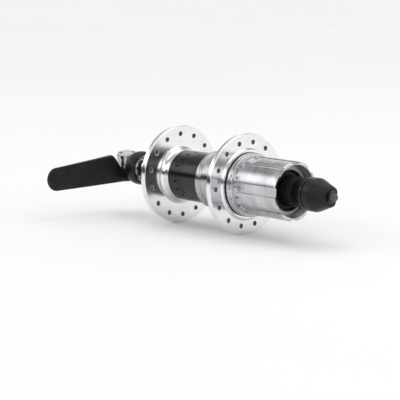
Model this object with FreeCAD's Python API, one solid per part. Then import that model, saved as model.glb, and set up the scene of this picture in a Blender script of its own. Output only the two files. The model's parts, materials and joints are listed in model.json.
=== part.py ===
import FreeCAD, Part
import math
import os

# Rear bicycle hub with a cassette freehub and a quick-release skewer.
# Frame: the origin is on the axle axis, midway between the two dropout faces.
# +Y runs along the axle to the non-drive (lever) side, +X is forward, +Z is up.
# A turned profile is a list of (y, r) points: y along the axle, r from the axis.

V = FreeCAD.Vector
Y_AXIS = V(0, 1, 0)
Z_AXIS = V(0, 0, 1)
ORIGIN = V(0, 0, 0)

# ---- driving dimensions, millimetres and degrees ----
DROPOUT_Y = 67.5            # half the over-locknut distance of 135
SPIGOT_R = 5.0              # stub that sits in the frame's 10 mm dropout slot
SPIGOT_LENGTH = 5.5
END_CAP_R = 9.0

AXLE_R = 6.0                # bearing seats of the axle
AXLE_SHOULDER_R = 7.5
AXLE_BORE_R = 2.8
AXLE_HALF_LENGTH = 62.0

BEARING_BORE_R = AXLE_R     # 12 x 24 x 6 cartridge bearing
BEARING_OUTER_R = 12.0
BEARING_WIDTH = 6.0
BALL_R = 1.5
BALL_PITCH_R = 9.0
BALL_COUNT = 11
BALL_CLEARANCE = 0.05
LEFT_BEARING_Y = 37.8       # the low-Y face of each bearing
RIGHT_BEARING_Y = -7.0
INNER_FREEHUB_BEARING_Y = -36.0
OUTER_FREEHUB_BEARING_Y = -55.0

FLANGE_R = 30.84
SPOKE_CIRCLE_R = 25.7
SPOKE_HOLE_R = 1.3
SPOKE_HOLES = 14            # per flange, 28 spokes in all
SPOKE_CHAMFER = 0.45
LEFT_FLANGE_Y = (37.5, 41.2)
RIGHT_FLANGE_Y = (-22.5, -19.0)
LEFT_HOLE_PHASE = -2.0      # degrees from +Z towards +X
RIGHT_HOLE_PHASE = -14.86
BARREL_R = 15.8
BARREL_BORE_R = 13.8
BARREL_Y = (6.1, 32.2)
HUB_BORE_R = 11.0

RATCHET_R = 16.0
RATCHET_ROOT_R = 14.6
RATCHET_TIP_R = 13.2
RATCHET_TEETH = 24
RATCHET_Y = (-21.0, -10.0)
PAWLS = 3
PAWL_PIVOT_R = 10.6         # distance of a pawl's pivot from the hub axis
PAWL_BOSS_R = 1.6
PAWL_Y = (-19.0, -12.0)
PAWL_FACE_ANGLE = 31.2      # from a pawl's pivot to its nose when it is out
PAWL_FOLD = 13.0            # degrees that a pawl is turned in; it can spring back out 12
RING_SPRING_R = 11.95
RING_SPRING_WIRE_R = 0.35
CARRIER_R = 12.8

FREEHUB_R = 17.8            # over the splines
FREEHUB_BORE_R = 7.7
FREEHUB_Y = (-63.5, -28.6)
FREEHUB_BASE_R = 19.4
FREEHUB_BASE_Y = -24.3
SPLINES = 8
SPLINE_PHASE = -88.0
SPLINE_GROOVE_WIDTH = 5.8
SPLINE_FLOOR_R = 16.2
LOCKRING_THREAD_R = 15.3
LOCKRING_THREAD_Y = (-63.5, -58.5)
MOUTH_R = 12.5              # bore behind the thread, wide enough to press the bearing through

ROD_R = 2.5
ROD_TIP_Y = -96.0
QR_ROLL = -2.0              # the lever hangs a little below the horizontal
CAM_Y = 91.5                # the cam's pivot, on the lever side
CAM_THROW = 0.5             # the rod moves by twice this
CAM_R = 2.6
CAM_TOP_R = 2.0
CAM_LOWER_R = 3.3
CAM_FIT = 0.05
HEAD_BORE_R = 4.35
BARREL_HOUSING_R = 6.9
LEVER_REACH = 66.0
NUT_R = 10.0
NUT_Y = (-92.5, -77.2)
NUT_FACE_Y = -75.0
HEAD_FACE_Y = 72.5

# ---- helpers ----


def outline(items):
    """A closed face in the YZ half-plane. (y, r) is a straight run to that point,
    and (mid_y, mid_r, y, r) is an arc through the middle point."""
    start = V(0, items[0][0], items[0][1])
    edges = []
    here = start
    for item in items[1:] + [items[0][:2]]:
        end = V(0, item[-2], item[-1])
        if len(item) == 4:
            edges.append(Part.Arc(here, V(0, item[0], item[1]), end).toShape())
        elif (end - here).Length > 1e-6:
            edges.append(Part.makeLine(here, end))
        here = end
    return Part.Face(Part.Wire(edges))


def turned(items):
    """The outline revolved once round the axle axis."""
    return outline(items).revolve(ORIGIN, Y_AXIS, 360)


def tube(y0, y1, inner_r, outer_r):
    return turned([(y0, inner_r), (y0, outer_r), (y1, outer_r), (y1, inner_r)])


def rod_y(y0, y1, radius):
    return Part.makeCylinder(radius, y1 - y0, V(0, y0, 0), Y_AXIS)


def fillet_arc(centre_y, centre_r, radius, start_deg, end_deg):
    """An arc item: its middle point and its end, from angles in the YZ plane."""
    middle = math.radians((start_deg + end_deg) / 2)
    end = math.radians(end_deg)
    return (
        centre_y + radius * math.cos(middle),
        centre_r + radius * math.sin(middle),
        centre_y + radius * math.cos(end),
        centre_r + radius * math.sin(end),
    )


def polar(radius, degrees, y=0.0):
    """A point at an angle from +Z towards +X, the forward rolling direction."""
    angle = math.radians(degrees)
    return V(radius * math.sin(angle), y, radius * math.cos(angle))


def turned_about_y(shape, degrees):
    copy = shape.copy()
    copy.rotate(ORIGIN, Y_AXIS, degrees)
    return copy


def extruded_y(points, y0, y1):
    """A prism along Y with a section of (x, z) points."""
    loop = [V(x, y0, z) for x, z in points]
    return Part.Face(Part.makePolygon(loop + loop[:1])).extrude(V(0, y1 - y0, 0))


def rolled(shape):
    """Lever-side pieces share one small roll about the axle axis."""
    return turned_about_y(shape, QR_ROLL)


def save(name, shape):
    if isinstance(shape, list):
        shape = Part.makeCompound(shape)
    elif shape.ShapeType != "Solid" and len(shape.Solids) == 1:
        shape = shape.Solids[0]
    assert shape.isValid(), name
    shape.exportStep("parts/" + name + ".step")
    print(name, len(shape.Solids), round(shape.Volume, 1))


# ---- hub shell ----


def spoke_holes(y_range, phase):
    """Round holes with a small countersink at both faces of a flange."""
    low, high = y_range
    margin = 1.0
    cutters = []
    for index in range(SPOKE_HOLES):
        place = polar(SPOKE_CIRCLE_R, phase + index * 360.0 / SPOKE_HOLES)
        base = V(place.x, low - margin, place.z)
        cutters.append(Part.makeCylinder(SPOKE_HOLE_R, high - low + 2 * margin, base, Y_AXIS))
        wide = SPOKE_HOLE_R + SPOKE_CHAMFER
        at_low = V(place.x, low, place.z)
        at_high = V(place.x, high, place.z)
        cutters.append(Part.makeCone(wide, SPOKE_HOLE_R, SPOKE_CHAMFER, at_low, Y_AXIS))
        cutters.append(Part.makeCone(wide, SPOKE_HOLE_R, SPOKE_CHAMFER, at_high, -Y_AXIS))
    return cutters


def left_flange():
    inner, outer = LEFT_FLANGE_Y
    dish = 5.3              # radius where the flange runs into the barrel
    rim = 0.7
    hub_end = 47.0
    shell = turned([
        (23.0, HUB_BORE_R),
        (23.0, BARREL_BORE_R),
        (BARREL_Y[1], BARREL_BORE_R),
        (BARREL_Y[1], 16.4),
        fillet_arc(BARREL_Y[1], 16.4 + dish, dish, -90, 0),
        (inner, FLANGE_R - rim),
        fillet_arc(inner + rim, FLANGE_R - rim, rim, 180, 90),
        (outer - rim, FLANGE_R),
        fillet_arc(outer - rim, FLANGE_R - rim, rim, 90, 0),
        (outer, 21.5),
        fillet_arc(outer + 4.0, 21.5, 4.0, 180, 270),
        (hub_end - 0.8, 16.7),
        (hub_end, 15.9),
        (hub_end, BEARING_OUTER_R),
        (LEFT_BEARING_Y, BEARING_OUTER_R),
        (LEFT_BEARING_Y, HUB_BORE_R),
    ])
    return shell.cut(spoke_holes(LEFT_FLANGE_Y, LEFT_HOLE_PHASE))


def right_flange():
    outer, inner = RIGHT_FLANGE_Y
    dish = 5.0
    rim = 0.7
    bearing_shoulder = RIGHT_BEARING_Y + BEARING_WIDTH
    seal_lip = 1.1          # a low ring on the outer face, round the seal
    shell = turned([
        (15.0, HUB_BORE_R),
        (15.0, BARREL_BORE_R),
        (BARREL_Y[0], BARREL_BORE_R),
        (BARREL_Y[0], 16.8),
        fillet_arc(BARREL_Y[0] - 1.5, 16.2, 1.62, 22, 158),
        (inner + dish, 23.4 - dish),
        fillet_arc(inner + dish, 23.4, dish, -90, -180),
        (inner, FLANGE_R - rim),
        fillet_arc(inner - rim, FLANGE_R - rim, rim, 0, 90),
        (outer + rim, FLANGE_R),
        fillet_arc(outer + rim, FLANGE_R - rim, rim, 90, 180),
        (outer, 22.0),
        (outer - seal_lip, 21.0),
        (outer - seal_lip, RATCHET_R + 0.5),
        (RATCHET_Y[0], RATCHET_R + 0.5),
        (RATCHET_Y[0], RATCHET_R),
        (RATCHET_Y[1], RATCHET_R),
        (RATCHET_Y[1], BEARING_OUTER_R),
        (bearing_shoulder, BEARING_OUTER_R),
        (bearing_shoulder, HUB_BORE_R),
    ])
    return shell.cut(spoke_holes(RIGHT_FLANGE_Y, RIGHT_HOLE_PHASE))


def hub_barrel():
    return tube(BARREL_Y[0], BARREL_Y[1], BARREL_BORE_R, BARREL_R)


def ratchet_ring():
    """Internal saw teeth: a steep face that the pawls push, and a long ramp behind it."""
    pitch = 360.0 / RATCHET_TEETH
    face_gap = 4.0          # degrees, room for a pawl's nose to swing out past its tooth
    section = []
    for index in range(RATCHET_TEETH):
        face = PAWL_FACE_ANGLE + face_gap + index * pitch
        for radius, angle in ((RATCHET_ROOT_R, face), (RATCHET_TIP_R, face + 0.3)):
            point = polar(radius, angle)
            section.append((point.x, point.z))
    margin = 1.0
    cutter = extruded_y(section, RATCHET_Y[0] - margin, RATCHET_Y[1] + margin)
    return rod_y(RATCHET_Y[0], RATCHET_Y[1], RATCHET_R).cut(cutter)


# ---- freehub ----


def pawl_section():
    """(tangential, radial) corners of a pawl, with its pivot at (0, PAWL_PIVOT_R)."""
    angle = math.radians(PAWL_FACE_ANGLE)
    nose = (14.2 * math.sin(angle), 14.2 * math.cos(angle))
    heel = (12.75 * math.sin(angle), 12.75 * math.cos(angle))
    return [
        (0.0, PAWL_PIVOT_R + PAWL_BOSS_R),
        nose,
        heel,
        (1.2, 9.2),
        (0.0, PAWL_PIVOT_R - PAWL_BOSS_R),
    ]


def ring_groove(inner_r):
    middle = (PAWL_Y[0] + PAWL_Y[1]) / 2
    half = RING_SPRING_WIRE_R + 0.25
    return tube(middle - half, middle + half, inner_r, RATCHET_R)


def pawl(index):
    """A pawl folded in, as it is while the wheel coasts."""
    boss = Part.makeCylinder(
        PAWL_BOSS_R, PAWL_Y[1] - PAWL_Y[0], V(0, PAWL_Y[0], PAWL_PIVOT_R), Y_AXIS)
    arm = extruded_y(pawl_section(), PAWL_Y[0], PAWL_Y[1])
    body = boss.fuse(arm).cut(ring_groove(11.2)).removeSplitter()
    body.rotate(V(0, 0, PAWL_PIVOT_R), Y_AXIS, PAWL_FOLD)
    return turned_about_y(body, index * 360.0 / PAWLS)


def pawl_pocket():
    """The space in the carrier that a pawl turns in, with its half-round pivot seat."""
    gap = 0.15
    length = PAWL_Y[1] - PAWL_Y[0] + 2 * gap
    seat = Part.makeCylinder(
        PAWL_BOSS_R + CAM_FIT, length, V(0, PAWL_Y[0] - gap, PAWL_PIVOT_R), Y_AXIS)
    recess = extruded_y(
        [(-1.0, 14.5), (9.4, 14.5), (9.4, 8.4), (5.6, 8.3), (0.0, 8.95)],
        PAWL_Y[0] - gap, PAWL_Y[1] + gap)
    return seat.fuse(recess)


def spline_groove(angle):
    """A parallel groove milled from the outer end, with the cutter's round run-out."""
    depth = 5.0
    half = SPLINE_GROOVE_WIDTH / 2
    stop = FREEHUB_Y[1] - 0.2 - half
    start = FREEHUB_Y[0] - 1.0
    slot = Part.makeBox(
        SPLINE_GROOVE_WIDTH, stop - start, depth, V(-half, start, SPLINE_FLOOR_R))
    round_end = Part.makeCylinder(half, depth, V(0, stop, SPLINE_FLOOR_R), Z_AXIS)
    return turned_about_y(slot.fuse(round_end), angle)


def freehub_body():
    outer_end, spline_start = FREEHUB_Y
    chamfer = 0.6
    seat_end = INNER_FREEHUB_BEARING_Y + BEARING_WIDTH
    outer_seat_start = OUTER_FREEHUB_BEARING_Y + BEARING_WIDTH
    body = turned([
        (-10.6, FREEHUB_BORE_R),
        (-10.6, CARRIER_R),
        (-22.2, CARRIER_R),
        (-22.2, 15.2),
        (FREEHUB_BASE_Y, 15.2),
        (FREEHUB_BASE_Y, FREEHUB_BASE_R - chamfer),
        (FREEHUB_BASE_Y - chamfer, FREEHUB_BASE_R),
        (spline_start + chamfer, FREEHUB_BASE_R),
        (spline_start, FREEHUB_BASE_R - chamfer),
        (spline_start, FREEHUB_R),
        (outer_end + chamfer, FREEHUB_R),
        (outer_end, FREEHUB_R - chamfer),
        (outer_end, LOCKRING_THREAD_R),
        (LOCKRING_THREAD_Y[1], LOCKRING_THREAD_R),
        (LOCKRING_THREAD_Y[1], MOUTH_R),
        (OUTER_FREEHUB_BEARING_Y, MOUTH_R),
        (OUTER_FREEHUB_BEARING_Y, BEARING_OUTER_R),
        (outer_seat_start, BEARING_OUTER_R),
        (outer_seat_start, 10.6),
        (INNER_FREEHUB_BEARING_Y, 10.6),
        (INNER_FREEHUB_BEARING_Y, BEARING_OUTER_R),
        (seat_end, BEARING_OUTER_R),
        (seat_end, FREEHUB_BORE_R),
    ])
    cutters = [spline_groove(SPLINE_PHASE + index * 360.0 / SPLINES) for index in range(SPLINES)]
    cutters += [turned_about_y(pawl_pocket(), index * 360.0 / PAWLS) for index in range(PAWLS)]
    cutters.append(ring_groove(RING_SPRING_R - RING_SPRING_WIRE_R - 0.1))
    # the inner bearing is pressed in from the outer end, so its seat opens that way
    cutters.append(tube(INNER_FREEHUB_BEARING_Y - 1.0, INNER_FREEHUB_BEARING_Y, 10.0, BEARING_OUTER_R))
    return body.cut(cutters)


def pawl_ring_spring():
    """One open wire ring that presses all three pawls outwards at their grooves."""
    middle = (PAWL_Y[0] + PAWL_Y[1]) / 2
    start = polar(RING_SPRING_R, 65.0, middle)
    section = Part.Wire(Part.makeCircle(RING_SPRING_WIRE_R, start, start.cross(Y_AXIS)))
    return Part.Face(section).revolve(ORIGIN, Y_AXIS, 335)


def freehub_seal():
    return turned([
        (-24.2, 15.2),
        (-24.2, 19.5),
        (-23.7, 19.7),
        (-23.7, 16.3),
        (-22.6, 15.9),
        (-22.4, 15.2),
    ])


def freehub_dust_cap():
    """The stepped black cover inside the freehub's mouth."""
    outer_r = MOUTH_R - 0.1
    return turned([
        (-55.2, outer_r),
        (-55.2, 9.5),
        (-57.4, 9.5),
        (-57.4, 10.4),
        (-56.5, 10.7),
        (-56.5, 11.2),
        (-58.3, 11.8),
        (-58.3, outer_r),
    ])


# ---- cartridge bearings ----


def bearing(name, low_y):
    middle = low_y + BEARING_WIDTH / 2
    high_y = low_y + BEARING_WIDTH
    race = Part.makeTorus(BALL_PITCH_R, BALL_R + BALL_CLEARANCE, V(0, middle, 0), Y_AXIS)
    inner_top_r = 8.0
    outer_low_r = 10.0
    corner = 0.3
    inner = turned([
        (low_y, BEARING_BORE_R), (low_y, inner_top_r),
        (high_y, inner_top_r), (high_y, BEARING_BORE_R)])
    outer = turned([
        (low_y, outer_low_r), (low_y, BEARING_OUTER_R - corner),
        (low_y + corner, BEARING_OUTER_R), (high_y - corner, BEARING_OUTER_R),
        (high_y, BEARING_OUTER_R - corner), (high_y, outer_low_r)])
    balls = []
    pockets = []
    for index in range(BALL_COUNT):
        angle = (index + 0.5) * 360.0 / BALL_COUNT
        outward = polar(1.0, angle)
        balls.append(Part.makeSphere(BALL_R, polar(BALL_PITCH_R, angle, middle)))
        pocket_start = polar(BALL_PITCH_R - BALL_R, angle, middle)
        pockets.append(Part.makeCylinder(BALL_R + 0.08, 2 * BALL_R, pocket_start, outward))
    cage_half = 2.1
    cage = tube(middle - cage_half, middle + cage_half, 8.55, 9.45).cut(pockets)
    shield_inner_r = inner_top_r + 0.15
    shields = [
        tube(low_y + 0.1, low_y + 0.5, shield_inner_r, outer_low_r),
        tube(high_y - 0.5, high_y - 0.1, shield_inner_r, outer_low_r),
    ]
    save(name + "_bearing_inner_ring", inner.cut(race))
    save(name + "_bearing_outer_ring", outer.cut(race))
    save(name + "_bearing_balls", balls)
    save(name + "_bearing_cage", cage)
    save(name + "_bearing_shields", shields)


# ---- axle, spacers and end caps ----


def axle():
    shoulder = (RIGHT_BEARING_Y + BEARING_WIDTH, LEFT_BEARING_Y)
    return turned([
        (-AXLE_HALF_LENGTH, AXLE_BORE_R),
        (-AXLE_HALF_LENGTH, AXLE_R),
        (shoulder[0], AXLE_R),
        (shoulder[0], AXLE_SHOULDER_R),
        (shoulder[1], AXLE_SHOULDER_R),
        (shoulder[1], AXLE_R),
        (AXLE_HALF_LENGTH, AXLE_R),
        (AXLE_HALF_LENGTH, AXLE_BORE_R),
    ])


def end_cap(side, inner_y, neck_r, neck_length):
    """A cap pressed on the axle: neck, dropout face and spigot. side is +1 or -1."""
    spigot_end = DROPOUT_Y + SPIGOT_LENGTH
    edge = 0.5
    collar = inner_y + neck_length
    knurl_relief = (DROPOUT_Y - 2.6, DROPOUT_Y - 1.8)
    profile = [
        (inner_y, AXLE_R),
        (inner_y, neck_r),
        (collar, neck_r),
        (collar + 1.0, END_CAP_R),
        (knurl_relief[0], END_CAP_R),
        (knurl_relief[0], END_CAP_R - edge),
        (knurl_relief[1], END_CAP_R - edge),
        (knurl_relief[1], END_CAP_R),
        (DROPOUT_Y, END_CAP_R),
        (DROPOUT_Y, SPIGOT_R),
        (spigot_end - edge, SPIGOT_R),
        (spigot_end, SPIGOT_R - edge),
        (spigot_end, AXLE_BORE_R),
        (AXLE_HALF_LENGTH, AXLE_BORE_R),
        (AXLE_HALF_LENGTH, AXLE_R),
    ]
    return turned([(side * y, r) for y, r in profile])


def left_dust_seal():
    """A rubber lip in the shell's end, running close round the left end cap."""
    return turned([
        (44.2, 8.3), (44.2, BEARING_OUTER_R), (46.6, BEARING_OUTER_R),
        (46.6, 10.0), (45.2, 9.2), (45.2, 8.3)])


# ---- quick-release skewer ----


def skewer_rod():
    """The rod, with a slotted round eye for the cam at its lever end."""
    slot_centre = CAM_Y + CAM_THROW
    slot_half_y = CAM_R + 0.25
    slot_half_x = CAM_R + CAM_THROW + 0.1
    eye_r = 4.2
    eye_wall = 1.4
    eye_low = slot_centre - slot_half_y - 2.6
    eye_high = slot_centre + slot_half_y + eye_wall
    chamfer = 0.5
    rod = turned([
        (ROD_TIP_Y, 0.0),
        (ROD_TIP_Y, ROD_R - chamfer),
        (ROD_TIP_Y + chamfer, ROD_R),
        (eye_low - 1.0, ROD_R),
        (eye_low, eye_r),
        (eye_high, eye_r),
        (eye_high, 0.0),
    ])
    slot = Part.makeBox(
        2 * slot_half_x, 2 * slot_half_y, 4 * eye_r,
        V(-slot_half_x, slot_centre - slot_half_y, -2 * eye_r))
    return rolled(rod.cut(slot))


def cam_housing():
    """The polished upright barrel that holds the cam, and its neck to the cup."""
    low_z, high_z = -6.4, 10.0
    corner = 2.6
    barrel = Part.makeCylinder(BARREL_HOUSING_R, high_z - low_z, V(0, CAM_Y, low_z), Z_AXIS)
    top_edges = [edge for edge in barrel.Edges if abs(edge.CenterOfMass.z - high_z) < 0.01]
    barrel = barrel.makeFillet(corner, top_edges)
    neck = rod_y(76.5, CAM_Y, 6.2)
    eye_bore = rod_y(82.0, 96.6, HEAD_BORE_R)
    rod_bore = rod_y(70.0, 90.0, AXLE_BORE_R)
    low_bore = Part.makeCylinder(CAM_LOWER_R + CAM_FIT, 10.0, V(0, CAM_Y, low_z - 1.0), Z_AXIS)
    top_bore = Part.makeCylinder(CAM_TOP_R + CAM_FIT, 8.1, V(0, CAM_Y, 0), Z_AXIS)
    # a small blind hole in the barrel's flank, facing back and a little inwards
    inwards = V(0.933, 0.359, 0)
    dimple_r, dimple_depth = 0.9, 2.2
    hole_start = V(0, CAM_Y, 6.3) - inwards * (BARREL_HOUSING_R + 1.0)
    dimple = Part.makeCylinder(dimple_r, dimple_depth + 1.0, hole_start, inwards)
    return rolled(barrel.fuse(neck).cut([eye_bore, rod_bore, low_bore, top_bore, dimple]))


def skewer_cup():
    """The black cup between the cam housing and the dropout."""
    cup = turned([
        (HEAD_FACE_Y + 0.2, 9.1),
        (HEAD_FACE_Y + 0.2, 10.0),
        (79.5, 10.7, 85.2, 7.6),
        (85.2, 6.2),
        (76.5, 6.2),
        (76.5, 9.1),
    ])
    room = Part.makeCylinder(BARREL_HOUSING_R, 60.0, V(0, CAM_Y, -30.0), Z_AXIS)
    return rolled(cup.cut(room))


def clamp_ring(face_y, inner_r, outer_r, depth, side):
    """A serrated steel ring that bites the dropout. side is the way its face looks."""
    teeth = 36
    tooth_depth = 0.35
    ring = tube(min(face_y, face_y - side * depth), max(face_y, face_y - side * depth),
                inner_r, outer_r)
    cutters = []
    for index in range(teeth):
        wedge = Part.makeBox(0.5, 2 * tooth_depth, outer_r + 1.0, V(-0.25, -tooth_depth, 0))
        wedge.translate(V(0, face_y, 0))
        cutters.append(turned_about_y(wedge, index * 360.0 / teeth))
    return ring.cut(cutters)


def cam():
    """Eccentric cam with a thin top journal and a wide lower one, fixed in the lever."""
    lever_seat_z = -6.7
    top = Part.makeCylinder(CAM_TOP_R, 7.6, V(0, CAM_Y, 0), Z_AXIS)
    low_z, high_z = -4.4, 2.8
    eccentric = Part.makeCylinder(CAM_R, high_z - low_z, V(0, CAM_Y + CAM_THROW, low_z), Z_AXIS)
    lower = Part.makeCylinder(CAM_LOWER_R, low_z - lever_seat_z, V(0, CAM_Y, lever_seat_z), Z_AXIS)
    stub = Part.makeCylinder(2.9, 2.5, V(0, CAM_Y, lever_seat_z - 2.5), Z_AXIS)
    return rolled(top.fuse([eccentric, lower, stub]).removeSplitter())


def lever():
    """The root disc under the housing and the curved paddle that the hand pushes."""
    low_z, root_top_z = -9.3, -6.7
    root = Part.makeCylinder(6.6, root_top_z - low_z, V(0, CAM_Y, low_z), Z_AXIS)
    root = root.cut(Part.makeCylinder(2.9, 4.0, V(0, CAM_Y, low_z - 0.5), Z_AXIS))
    # plan of the paddle, seen from above: two arcs, the inner one wrapping the housing
    mid_x, tip_x = -38.0, -LEVER_REACH
    wrap_x = -4.6
    outer = [V(0.0, CAM_Y + 1.6, 0), V(mid_x, CAM_Y - 1.6, 0), V(tip_x, CAM_Y - 1.0, 0)]
    inner = [V(tip_x, CAM_Y - 3.6, 0), V(mid_x, CAM_Y - 4.6, 0), V(wrap_x, CAM_Y - 6.0, 0)]
    tip_end = V(tip_x - 1.6, CAM_Y - 2.3, 0)
    plan = Part.Wire([
        Part.Arc(*outer).toShape(),
        Part.Arc(outer[2], tip_end, inner[0]).toShape(),
        Part.Arc(*inner).toShape(),
        Part.makeLine(inner[2], outer[0]),
    ])
    plan.translate(V(0, 0, low_z))
    height = 18.6
    wall = Part.Face(plan).extrude(V(0, 0, height))
    # side view: a slanted inboard edge, a gentle taper and a round tip
    top_z = low_z + height
    side = Part.Wire([
        Part.makeLine(V(0.0, 0, low_z), V(0.0, 0, root_top_z)),
        Part.makeLine(V(0.0, 0, root_top_z), V(wrap_x, 0, root_top_z)),
        Part.makeLine(V(wrap_x, 0, root_top_z), V(-13.4, 0, top_z - 2.4)),
        Part.Arc(V(-13.4, 0, top_z - 2.4), V(-14.6, 0, top_z - 0.7), V(-16.4, 0, top_z)).toShape(),
        Part.makeLine(V(-16.4, 0, top_z), V(-60.0, 0, 6.4)),
        Part.Arc(V(-60.0, 0, 6.4), V(-66.8, 0, -1.0), V(-60.0, 0, -8.4)).toShape(),
        Part.makeLine(V(-60.0, 0, -8.4), V(0.0, 0, low_z)),
    ])
    side.translate(V(0, 60.0, 0))
    profile = Part.Face(side).extrude(V(0, 60.0, 0))
    paddle = wall.common(profile)
    barrel_room = Part.makeCylinder(
        BARREL_HOUSING_R + 0.4, 40.0, V(0, CAM_Y, root_top_z), Z_AXIS)
    stub_room = Part.makeCylinder(2.9, 4.0, V(0, CAM_Y, low_z - 0.5), Z_AXIS)
    return rolled(paddle.cut([barrel_room, stub_room]).fuse(root).removeSplitter())


def conical_spring(small_y, large_y):
    """Conical helix round the rod, its small end towards the hub."""
    wire_r = 0.35
    small_r = 3.5
    large_r = 6.4
    turns = 2.5
    length = abs(large_y - small_y)
    apex = math.degrees(math.atan((large_r - small_r) / length))
    path = Part.makeHelix(length / turns, length, small_r, apex)
    start = V(small_r, 0, 0)
    section = Part.Wire(Part.makeCircle(wire_r, start, V(0, 1, 0)))
    coil = Part.Wire(path.Edges).makePipeShell([section], True, True)
    spring = coil if coil.ShapeType == "Solid" else Part.Solid(coil)
    turn = -90 if large_y > small_y else 90
    spring.rotate(ORIGIN, V(1, 0, 0), turn)
    spring.translate(V(0, small_y, 0))
    return spring


def skewer_nut():
    """Round base, then a grip that tapers to two flats."""
    inner_end, base_end = NUT_Y[0], NUT_Y[1]
    recess_r = 7.5
    body = turned([
        (base_end, 8.0),
        (-75.6, 8.0),
        (-75.6, recess_r),
        (-79.0, recess_r),
        (-79.0, 3.9),
        (inner_end, 3.9),
        (inner_end, 5.4),
        (inner_end + 1.0, 6.4),
        (-83.6, 9.4),
        (-82.4, NUT_R),
        (base_end - 0.6, NUT_R),
        (base_end, NUT_R - 0.6),
    ])
    flat_start, flat_end = -83.4, inner_end - 1.0
    cutters = []
    for side in (1, -1):
        near, far = side * 8.6, side * 4.6
        corner = side * 14.0
        points = [V(near, flat_start, -14), V(far, flat_end, -14), V(corner, flat_end, -14),
                  V(corner, flat_start, -14)]
        cutters.append(Part.Face(Part.makePolygon(points + points[:1])).extrude(V(0, 0, 28)))
    return turned_about_y(body.cut(cutters), 12.0)


def skewer_nut_insert():
    """The threaded metal core of the nut."""
    return tube(NUT_Y[0] - 0.6, -79.0, ROD_R + CAM_FIT, 3.9)


def build():
    os.makedirs("parts", exist_ok=True)
    save("hub_barrel", hub_barrel())
    save("left_flange", left_flange())
    save("right_flange", right_flange())
    save("ratchet_ring", ratchet_ring())
    save("left_dust_seal", left_dust_seal())
    save("freehub_body", freehub_body())
    save("freehub_seal", freehub_seal())
    save("freehub_dust_cap", freehub_dust_cap())
    save("pawl_ring_spring", pawl_ring_spring())
    for index in range(PAWLS):
        save("pawl_%d" % (index + 1), pawl(index))
    bearing("left_hub", LEFT_BEARING_Y)
    bearing("right_hub", RIGHT_BEARING_Y)
    bearing("inner_freehub", INNER_FREEHUB_BEARING_Y)
    bearing("outer_freehub", OUTER_FREEHUB_BEARING_Y)
    save("axle", axle())
    spacer_r = 7.2
    save("long_spacer", tube(
        INNER_FREEHUB_BEARING_Y + BEARING_WIDTH, RIGHT_BEARING_Y, AXLE_R, spacer_r))
    save("short_spacer", tube(
        OUTER_FREEHUB_BEARING_Y + BEARING_WIDTH, INNER_FREEHUB_BEARING_Y, AXLE_R, spacer_r))
    save("left_end_cap", end_cap(1, LEFT_BEARING_Y + BEARING_WIDTH, 7.9, 4.0))
    save("right_end_cap", end_cap(-1, -OUTER_FREEHUB_BEARING_Y, 7.8, 1.4))
    save("skewer_rod", skewer_rod())
    save("cam_housing", cam_housing())
    save("skewer_cup", skewer_cup())
    save("head_clamp_ring", rolled(clamp_ring(HEAD_FACE_Y, 7.4, 9.0, 4.0, -1)))
    save("cam", cam())
    save("lever", lever())
    save("head_spring", conical_spring(73.9, 76.1))
    save("nut_spring", conical_spring(-73.8, -76.6))
    save("nut_clamp_ring", clamp_ring(NUT_FACE_Y, 8.15, 9.9, 2.0, 1))
    save("skewer_nut", skewer_nut())
    save("skewer_nut_insert", skewer_nut_insert())


build()
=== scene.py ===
import json
import math

import bmesh
import bpy
from mathutils import Matrix, Vector


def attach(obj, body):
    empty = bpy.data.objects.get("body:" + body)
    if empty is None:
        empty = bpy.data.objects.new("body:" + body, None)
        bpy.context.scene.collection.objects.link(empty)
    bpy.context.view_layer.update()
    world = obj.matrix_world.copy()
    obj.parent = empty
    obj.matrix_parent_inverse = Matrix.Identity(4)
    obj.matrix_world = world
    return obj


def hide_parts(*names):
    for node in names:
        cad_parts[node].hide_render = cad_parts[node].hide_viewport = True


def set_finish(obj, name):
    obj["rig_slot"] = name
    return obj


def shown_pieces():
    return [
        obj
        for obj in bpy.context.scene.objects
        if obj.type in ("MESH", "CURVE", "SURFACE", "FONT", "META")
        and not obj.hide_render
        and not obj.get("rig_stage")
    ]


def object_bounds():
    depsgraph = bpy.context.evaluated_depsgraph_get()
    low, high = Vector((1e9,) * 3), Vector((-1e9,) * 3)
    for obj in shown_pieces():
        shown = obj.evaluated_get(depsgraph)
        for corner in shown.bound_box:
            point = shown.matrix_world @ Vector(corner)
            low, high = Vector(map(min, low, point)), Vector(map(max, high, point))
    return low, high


# Looks of the rear hub. Lengths are millimetres in the profiles and metres in Blender.
# The axle lies along Y, the drive side is at -Y, and +Z is up.

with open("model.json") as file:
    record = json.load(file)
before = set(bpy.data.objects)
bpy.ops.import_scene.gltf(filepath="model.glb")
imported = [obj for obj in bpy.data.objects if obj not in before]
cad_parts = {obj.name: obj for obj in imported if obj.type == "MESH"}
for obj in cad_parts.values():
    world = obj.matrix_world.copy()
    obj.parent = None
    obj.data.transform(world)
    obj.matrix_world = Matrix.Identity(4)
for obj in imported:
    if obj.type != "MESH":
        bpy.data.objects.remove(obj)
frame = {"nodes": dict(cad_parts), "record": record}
cad_low, cad_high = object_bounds()
MM = 0.001
WELD = 1e-7                 # metres within which points are one
ROUND_STEPS = 192           # columns of a piece turned about the axle
SMALL_STEPS = 96            # columns of the lever side's turned shapes
TOOL_STEPS = 64             # columns of a bore's cutter
ON_AXIS = 0.01              # radius of a profile's end that lies on its axis
ROLL = math.radians(-2.0)   # the lever side's small roll about the axle

# ---------------------------------------------------------------- meshes


def placed(name, vertices, faces):
    """A smooth-shaded object in the row frame."""
    mesh = bpy.data.meshes.new(name)
    mesh.from_pydata([Vector(v) * MM for v in vertices], [], faces)
    clean(mesh)
    return shown(name, mesh)


def shown(name, data):
    """An object with a mesh, a light or a camera, linked to the scene."""
    made = bpy.data.objects.new(name, data)
    bpy.context.scene.collection.objects.link(made)
    return made


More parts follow.
